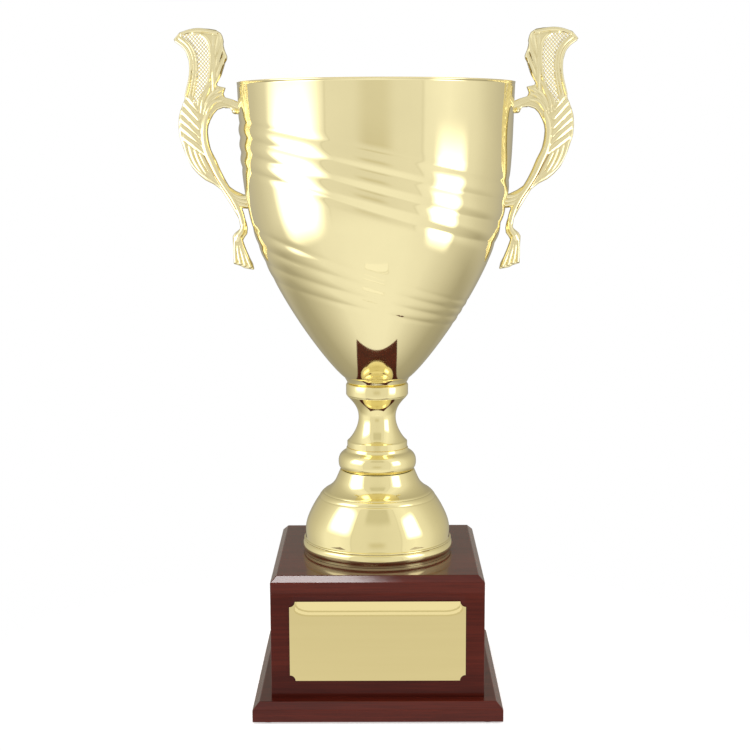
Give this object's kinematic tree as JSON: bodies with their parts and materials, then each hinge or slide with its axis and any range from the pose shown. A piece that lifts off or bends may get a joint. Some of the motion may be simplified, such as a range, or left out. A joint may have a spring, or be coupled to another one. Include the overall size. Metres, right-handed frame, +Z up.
{
  "type": "presentation cup",
  "caption": "Handled presentation cup: a flared sheet metal bowl on a turned stem and a domed foot, bolted through to a square lacquered wooden plinth with a blank nameplate.",
  "frame": {"origin": "middle of the plinth's footprint, at the undersides of the felt pads, on the table", "axes": "+Z up along the tie rod; -Y out of the nameplate, which is the front; +X to the right of someone who reads the nameplate, through one handle"},
  "size_m": [0.2916, 0.2014, 0.49],
  "materials": {
    "gilt_sheet": "spun sheet, polished and gold plated",
    "cast_gilt": "relief casting, gold plated, polished on its high places",
    "gilt_plate": "polished engraving sheet, blank",
    "lacquered_wood": "mahogany veneer under thick clear gloss lacquer",
    "raw_board": "bare sawn softwood",
    "zinc_steel": "bright zinc plated steel",
    "felt": "black wool felt",
    "tape": "white acrylic foam"
  },
  "bodies": {
    "root": {"base_board": "lacquered_wood", "base_screw_1": "zinc_steel", "base_screw_2": "zinc_steel", "base_screw_3": "zinc_steel", "base_screw_4": "zinc_steel", "cup": "gilt_sheet", "cup_collar": "gilt_sheet", "cup_nut": "zinc_steel", "cup_washer": "zinc_steel", "foot_dome": "gilt_sheet", "foot_pad_1": "felt", "foot_pad_2": "felt", "foot_pad_3": "felt", "foot_pad_4": "felt", "glue_block_1": "raw_board", "glue_block_2": "raw_board", "glue_block_3": "raw_board", "glue_block_4": "raw_board", "handle_left": "cast_gilt", "handle_right": "cast_gilt", "handle_screw_lower_left": "zinc_steel", "handle_screw_lower_right": "zinc_steel", "handle_screw_upper_left": "zinc_steel", "handle_screw_upper_right": "zinc_steel", "handle_washer_lower_left": "zinc_steel", "handle_washer_lower_right": "zinc_steel", "handle_washer_upper_left": "zinc_steel", "handle_washer_upper_right": "zinc_steel", "nameplate": "gilt_plate", "nameplate_tape": "tape", "plinth_back": "lacquered_wood", "plinth_front": "lacquered_wood", "plinth_left": "lacquered_wood", "plinth_nut": "zinc_steel", "plinth_right": "lacquered_wood", "plinth_top": "lacquered_wood", "plinth_washer": "zinc_steel", "stem_bead": "gilt_sheet", "stem_waist": "gilt_sheet", "tie_rod": "zinc_steel"}
  },
  "joints": []
}
